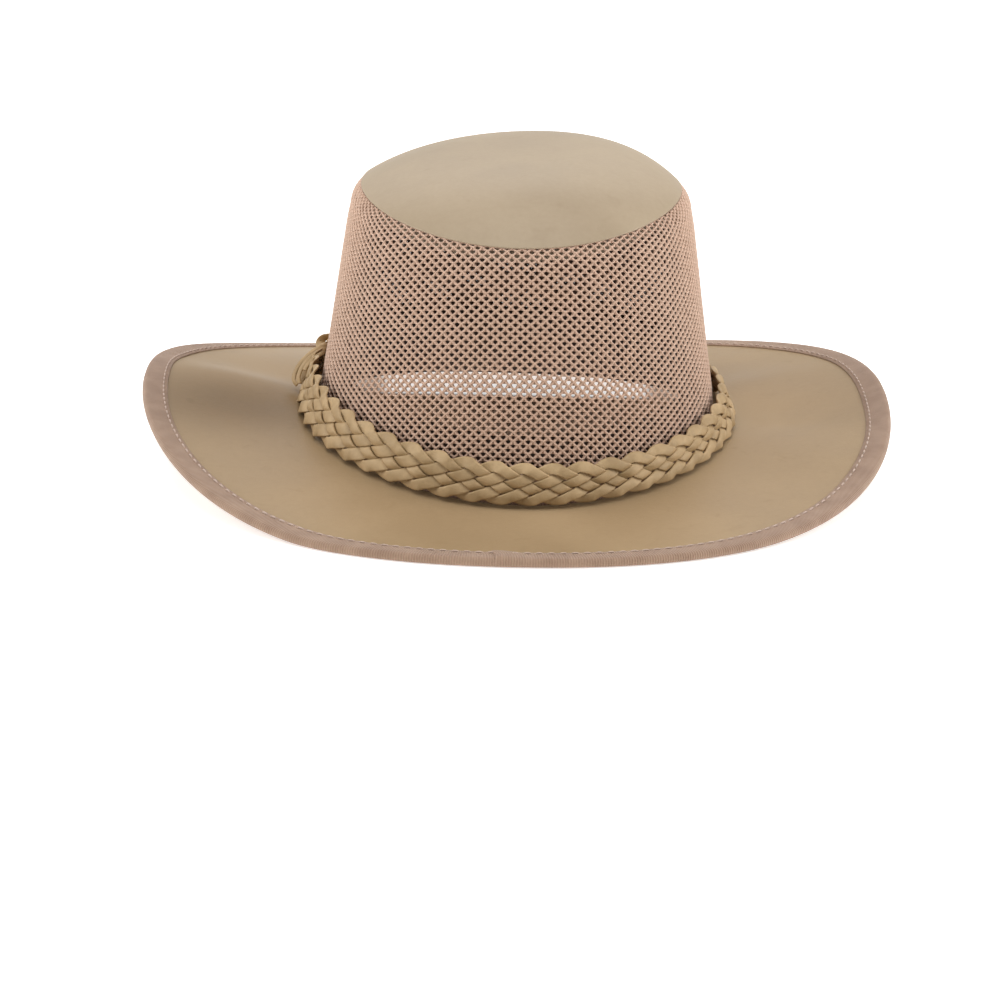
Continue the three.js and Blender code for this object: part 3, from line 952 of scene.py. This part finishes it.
def makeBinding():
    # The section is carried round the brim's edge, thicker and further out on the lap.
    section = bindingSection()
    lapAngles = np.radians(lap["at"] + np.array(lap["stations"]))
    angle = np.unique(np.concatenate([fullTurn(binding["stations"]), lapAngles]))
    share = lapShare(angle)
    outer = (np.abs(section[:, 1]) > binding["inner"] + 0.01) | (section[:, 0] < 1.0)
    rows = []
    for (inward, up), raised in zip(section, outer):
        # The lap thickens the tape on its upper side only, so that the brim lies level.
        lift = lap["lift"] * share * raised * (up > 0)
        # The lap's end slants back towards the tape's inner side, and its columns with it.
        near = np.exp(-((np.degrees(angle) - lap["at"]) / lap["spread"]) ** 2)
        turns = angle - np.radians(lap["slant"]) * (inward / binding["width"]) ** 2 * near
        side = np.sign(up) if abs(up) > 1e-6 else 0.0
        nose = np.clip(1 - inward / binding["nose"], 0, 1) * raised
        reach = reachFromEdge(inward - nose * lap["out"] * share, turns)
        rows.append(offsetPoint(brimSurface, reach, turns, -(up + side * lift)))
    points = np.stack(rows)
    points = closeRound(np.concatenate([points, points[:1]]))
    around = pathLengths(brimSurface(1.0, angle))
    across = pathLengths(np.concatenate([section, section[:1]]))
    uv = np.stack(np.broadcast_arrays(around[None], across[:, None]), -1)
    makePiece("edge_tape", points, ribbedTape, uv=uv, sharpAngle=50, nodes=["brim_binding"])


def makeStitches():
    # One short round-ended thread for each stitch, as rings along it that shrink at both
    # ends, in an array over all stitches.
    fine = np.linspace(0, 2 * np.pi, 4001)
    line = brimSurface(reachFromEdge(stitch["in"], fine), fine)
    arc = pathLengths(line)
    count = int(round(arc[-1] / stitch["pitch"]))
    middle = (np.arange(count) + 0.5) * arc[-1] / count
    along = np.array(stitch["along"])
    radius = stitch["radius"] * np.array(stitch["thick"])[:, None]
    around = fullTurn(stitch["sides"])
    spots = middle[:, None] + along * stitch["length"] / 2
    angle = np.interp(spots % arc[-1], arc, fine)[..., None]
    surfaceUp = np.interp(stitch["in"], *np.transpose(binding["face"]))
    dip = stitch["radius"] * stitch["dip"] * np.abs(along) ** 3
    reach = reachFromEdge(stitch["in"] + radius * np.cos(around), angle)
    for side, (name, sink) in zip((1, -1), stitch["sink"].items()):
        up = surfaceUp + stitch["radius"] - sink - dip
        rise = up[:, None] + radius * np.sin(around)
        points = offsetPoint(brimSurface, reach, angle, -side * rise)
        makePiece(name, closeRound(points), edgeThread)


makeBinding()
makeStitches()

# Plait: one flat thong that goes round the hat five times, up and down between the edges.
plait = {
    "loops": 47,
    "strands": 5,
    "low": 3.1,
    "high": 18.1,
    "topDrop": 1.9,
    "corner": 0.972,
    "middleOut": 4.5,
    "crossing": 0.95,
    "squareWave": 0.35,
    "thongWidth": 4.9,
    "legWidening": 0.16,
    "thongThickness": 1.5,
    "shear": 0.4,
    "bottomFlare": 1.2,
    "sideFlare": 3.6,
    "flareHeight": 20.0,
    "turnTilt": 24.0,
    "turnReach": 0.09,
    "wideningReach": 0.14,
    "turnSwing": (-0.07, 0.13),
    "turnBlend": (0.1, 0.22),
    "ringRise": 0.1,
    "stepsPerLoop": 36,
    "phase": -0.106,
}
thongShape = {"sides": 16, "sideRound": 0.45, "faceRound": 0.6, "crowning": 0.18}


def thongSection():
    # A flat section with rounded sides and a slightly crowned face, once round.
    turn = fullTurn(thongShape["sides"])
    side = np.sign(np.cos(turn)) * np.abs(np.cos(turn)) ** thongShape["sideRound"]
    face = np.sign(np.sin(turn)) * np.abs(np.sin(turn)) ** thongShape["faceRound"]
    side[-1], face[-1] = side[0], face[0]
    return side, face * (1 - thongShape["crowning"] * side ** 2)


def bandPoint(angle, up, out):
    # A point beside the wall: up from the base line, and out along the level.
    tall = seamHeight(angle) - baseHeight(angle)
    point = wallSurface(up / tall, angle)
    outward = point.copy()
    outward[..., 2] = 0
    outward /= np.linalg.norm(outward, axis=-1, keepdims=True)
    return point + outward * np.asarray(out)[..., None]


def makePlait():
    # The thong's height is a triangle wave with softened corners, slanted so that its way
    # down is steeper than its way up. Its distance out swings at each crossing thong. It
    # comes to each edge under its neighbour, turns there with a tilt, and leaves over it.
    loops, strands = plait["loops"], plait["strands"]
    count = loops * plait["stepsPerLoop"] * 2
    share = np.linspace(0, 1, count + 1)
    angle = 2 * np.pi * strands * share
    phase = 2 * np.pi * (loops * share + plait["phase"])
    tallness = plait["high"] - plait["low"]
    wave = np.arcsin(plait["corner"] * np.cos(phase)) / np.arcsin(plait["corner"])
    centre = (plait["high"] + plait["low"]) / 2 + tallness / 2 * wave
    ring = wallSurface(plait["ringRise"], angle)
    spacing = np.linalg.norm(np.roll(ring[:-1], -1, axis=0) - ring[:-1], axis=1).sum() / strands / loops
    period = spacing * strands
    slope = np.gradient(centre, share) / (loops * period)
    slant = np.arctan(slope)
    side, face = thongSection()
    # The place on each straight leg, from 0 at a turn to 1 at the next, and how far the
    # nearest turn lies behind it.
    leg = (phase / np.pi) % 1.0
    away = np.where(leg < 0.5, leg, leg - 1)
    down = np.floor(phase / np.pi) % 2 < 0.5
    tilt = np.radians(plait["turnTilt"]) * np.exp(-(away / plait["turnReach"]) ** 2) * np.sign(wave)
    onLeg = smoothStep(np.abs(away), 0.0, plait["wideningReach"])
    widening = np.where(down, -1, 1) * plait["legWidening"] * onLeg
    width = side[None] * plait["thongWidth"] / 2 * (1 + widening)[:, None]
    shiftAlong = -width * np.sin(slant)[:, None]
    shiftUp = width * np.cos(slant)[:, None]
    # Where this point lies between the thongs that cross here: one more for each spacing.
    legSlope = 2 * tallness / period
    drop = plait["high"] - (centre[:, None] + shiftUp)
    startLeg = np.floor(phase / np.pi) / 2 * strands * spacing
    alongBand = (share * loops * period + plait["phase"] * period)[:, None] + shiftAlong
    downCross = (alongBand + drop / legSlope - startLeg[:, None]) / spacing
    upEnd = startLeg + strands * spacing / 2
    upCross = (upEnd[:, None] - alongBand + drop / legSlope) / spacing
    swing = np.where(down[:, None], np.cos(np.pi * (downCross - 1)), -np.cos(np.pi * (upCross - 1)))
    swing = swing * np.sqrt((1 + plait["squareWave"]) / (swing ** 2 + plait["squareWave"]))
    turnSwing = 2 * smoothStep(away, *plait["turnSwing"]) - 1
    swing = blend(turnSwing[:, None], swing, smoothStep(np.abs(away), *plait["turnBlend"])[:, None])
    out = plait["middleOut"] + plait["crossing"] * swing - np.sin(tilt)[:, None] * width
    up = centre[:, None] + shiftUp * np.cos(tilt)[:, None]
    slanted = shiftAlong - plait["shear"] * (plait["high"] - up)
    turnAngle = angle[:, None] + slanted / (loops * spacing) * 2 * np.pi
    # The band stands lower at the right of the picture, and leans out at its foot.
    flare = plait["bottomFlare"] + plait["sideFlare"] * np.cos(turnAngle) ** 2
    out = out + flare * np.clip(1 - up / plait["flareHeight"], 0, 1) ** 2
    out = out + face[None] * plait["thongThickness"] / 2
    up = up - plait["topDrop"] * (1 + np.cos(turnAngle)) * (up - plait["low"]) / tallness
    points = closeRound(bandPoint(turnAngle, up, out))
    points[-1] = points[0]
    around = (share * loops * period)[:, None]
    uv = np.stack(np.broadcast_arrays(around, width), -1)
    makePiece("plait_thong", points, bandLeather, uv=uv, nodes=["plaited_band"])


makePlait()

# Tie: narrow thongs wound over the plait's ends on the left side, and one loose end. Out
# is measured from the wall and up from the base line, in millimetres, at and twist in
# degrees. At a twist of 90 a thong's face lies across the line round the hat.
tieSteps = 48
tieThongs = [
    {
        "name": "tie_thong_outer", "width": 2.1, "thickness": 1.1, "nodes": ["tie_wrap"],
        "at": [168.0, 169.5, 171.0, 172.3, 173.6, 174.8, 175.8, 176.6, 177.2],
        "out": [1.1, 2.3, 4.2, 6.7, 9.3, 11.2, 12.4, 12.3, 10.7],
        "up": [19.3, 20.1, 19.8, 18.3, 15.8, 13.3, 10.1, 7.4, 5.6],
        "twist": -50,
    },
    {
        "name": "tie_thong_middle", "width": 2.2, "thickness": 1.1, "nodes": ["tie_wrap"],
        "at": [169.8, 171.5, 173.2, 174.6, 175.7, 176.5, 177.2, 177.8],
        "out": [1.0, 1.9, 3.9, 6.2, 8.3, 9.8, 10.4, 9.7],
        "up": [18.3, 19.1, 18.7, 17.3, 15.1, 12.4, 9.4, 6.9],
        "twist": -50,
    },
    {
        "name": "tie_thong_under", "width": 1.9, "thickness": 1.1, "nodes": ["tie_wrap"],
        "at": [172.5, 174.0, 175.5, 176.6, 177.4, 178.0],
        "out": [1.0, 1.9, 3.5, 5.5, 7.2, 8.1],
        "up": [17.9, 18.6, 18.2, 16.8, 14.8, 12.9],
        "twist": -50,
    },
    {
        "name": "tie_thong_inner", "width": 3.0, "thickness": 1.0, "nodes": ["tie_wrap"],
        "at": [171.5, 172.5, 173.5, 174.5, 175.5],
        "out": [4.8, 6.5, 7.9, 8.9, 9.3],
        "up": [14.2, 12.8, 10.7, 8.2, 5.6],
        "twist": -60,
    },
    {
        "name": "tie_thong_strand", "width": 1.5, "thickness": 0.9, "nodes": ["tie_wrap"],
        "at": [166.8, 167.4, 168.2, 169.0],
        "out": [2.0, 2.1, 1.9, 1.7],
        "up": [16.2, 14.9, 13.2, 11.0],
        "twist": 10,
    },
    {
        "name": "tie_loose_end", "width": 4.2, "thickness": 1.2, "nodes": ["tie_end"],
        "at": [160.5, 159.7, 158.9, 158.1, 157.5, 156.9, 156.3],
        "out": [5.1, 7.6, 9.3, 9.7, 9.0, 7.6, 5.8],
        "up": [15.3, 14.9, 15.7, 16.9, 18.1, 18.8, 19.2],
        "twist": [-30, -35, -40, -45, -45, -40, -30],
    },
]


def makeTieThong(thong):
    # A smooth path through the table's places. The flat section starts level round the hat,
    # is turned about the path by the twist, and is closed at both ends.
    rows = np.arange(len(thong["at"]), dtype=float)
    fine = np.linspace(0, rows[-1], tieSteps)
    angle = np.radians(smoothTable(fine, rows, thong["at"]))
    path = bandPoint(angle, smoothTable(fine, rows, thong["up"]), smoothTable(fine, rows, thong["out"]))
    along = np.gradient(path, axis=0)
    along /= np.linalg.norm(along, axis=1, keepdims=True)
    level = np.column_stack([-np.sin(angle), np.cos(angle), 0 * angle])
    across = level - (level * along).sum(1, keepdims=True) * along
    across /= np.linalg.norm(across, axis=1, keepdims=True)
    facing = np.cross(along, across)
    twists = np.broadcast_to(thong["twist"], rows.shape)
    c, s = (turned(np.radians(smoothTable(fine, rows, twists)))[:, None] for turned in (np.cos, np.sin))
    across, facing = c * across + s * facing, c * facing - s * across
    side, face = thongSection()
    closing = np.concatenate([[0.0], np.ones(len(fine)), [0.0]])[:, None, None]
    index = np.concatenate([[0], np.arange(len(fine)), [len(fine) - 1]])
    wide = across[index][:, None] * side[None, :, None] * thong["width"] / 2
    deep = facing[index][:, None] * face[None, :, None] * thong["thickness"] / 2
    points = closeRound(path[index][:, None] + (wide + deep) * closing)
    makePiece(thong["name"], points, bandLeather, sharpAngle=60, nodes=thong["nodes"])


for thong in tieThongs:
    makeTieThong(thong)

# Floor and light: a white table that glows a little beyond the crown, painted light that hides the
# hat's shadow there, with painted shade under the crown and a painted strip of light at its far
# side; a white room, and soft lamps over the hat, at both sides and behind it.
studio = {
    "floorSize": 12.0,
    "floorColour": (0.93, 0.93, 0.93, 1),
    "floorRoughness": 0.9,
    "floorSpecular": 0.1,
    "floorPaintedGlow": 0.55,
    "glowOval": (0.0856, 0.104),
    "glowFrom": 1.05,
    "glowTo": 1.55,
    # Painted shade under the crown, and a painted strip of light at its far side.
    "paintedShadeColour": (0.62, 0.46, 0.35, 1),
    "paintedLightStrip": 1.35,
    "paintedLightStripDepth": (0.078, 0.082),
    "paintedLightStripSides": (0.064, 0.058),
    "roomStrength": 0.34,
    "lamps": {
        "topLamp": {"place": (0.0, -0.3, 1.9), "size": (1.8, 1.8), "power": 21.0},
        "leftLamp": {"place": (-1.7, -0.1, 0.8), "size": (1.2, 1.2), "power": 18.5},
        "rightLamp": {"place": (1.7, -0.1, 0.8), "size": (1.2, 1.2), "power": 19.5},
        "backLamp": {"place": (0.0, 1.7, 1.3), "size": (2.4, 0.9), "power": 13.0},
        "lowLamp": {"place": (0.0, 2.3, 0.25), "size": (3.0, 0.35), "power": 3.0},
    },
}


def makeStudio():
    # A square floor, an evenly lit room, and area lamps that all aim at the hat's foot.
    half = studio["floorSize"] / 2
    mesh = bpy.data.meshes.new("floor")
    square = [(-half, -half, 0), (half, -half, 0), (half, half, 0), (-half, half, 0)]
    mesh.from_pydata(square, [], [(0, 1, 2, 3)])
    material, tree, shader = newMaterial("floorWhite", **{
        "Roughness": studio["floorRoughness"], "Specular IOR Level": studio["floorSpecular"],
        "Emission Strength": studio["floorPaintedGlow"]})
    # The glow is painted light that takes the hat's shadow off the floor: it grows with the distance from
    # the middle, measured in the crown's own oval.
    place = objectPlace(tree)
    oval = (1 / studio["glowOval"][0], 1 / studio["glowOval"][1], 0.0)
    scaled = addNode(tree, "ShaderNodeMapping", {"Vector": place, "Scale": oval}).outputs["Vector"]
    away = addNode(tree, "ShaderNodeVectorMath", {0: scaled}, operation="LENGTH").outputs["Value"]
    glow = rescale(tree, away, studio["glowFrom"], studio["glowTo"], 0.0, 1.0)
    colour = mixColour(tree, glow, studio["paintedShadeColour"], studio["floorColour"])
    tree.links.new(colour, shader.inputs["Base Color"])
    # Under the crown the floor is darker, painted shade, and only a strip at its far side glows, a painted
    # strip of light.
    spot = addNode(tree, "ShaderNodeSeparateXYZ", {"Vector": place}).outputs
    far = rescale(tree, spot["Y"], *studio["paintedLightStripDepth"], 0.0, studio["paintedLightStrip"])
    side = rescale(tree, calculate(tree, "ABSOLUTE", spot["X"]), *studio["paintedLightStripSides"], 0.0, 1.0)
    far = calculate(tree, "MULTIPLY", far, side)
    glow = calculate(tree, "MULTIPLY_ADD", far, calculate(tree, "SUBTRACT", 1.0, glow), glow)
    tree.links.new(glow, shader.inputs["Emission Color"])
    mesh.materials.append(material)
    floor = bpy.data.objects.new("floor", mesh)
    scene.collection.objects.link(floor)
    room = bpy.data.worlds.new("whiteRoom")
    room.use_nodes = True
    light = room.node_tree.nodes["Background"].inputs
    light["Color"].default_value = white
    light["Strength"].default_value = studio["roomStrength"]
    scene.world = room
    for name, lamp in studio["lamps"].items():
        data = bpy.data.lights.new(name, "AREA")
        data.shape = "RECTANGLE"
        data.size, data.size_y = lamp["size"]
        data.energy = lamp["power"]
        lampObject = bpy.data.objects.new(name, data)
        scene.collection.objects.link(lampObject)
        lampObject.location = lamp["place"]
        lampObject.rotation_mode = "QUATERNION"
        lampObject.rotation_quaternion = (-lampObject.location).to_track_quat("-Z", "Y")
    scene.view_settings.view_transform = "Standard"


makeStudio()
print("studio ready")
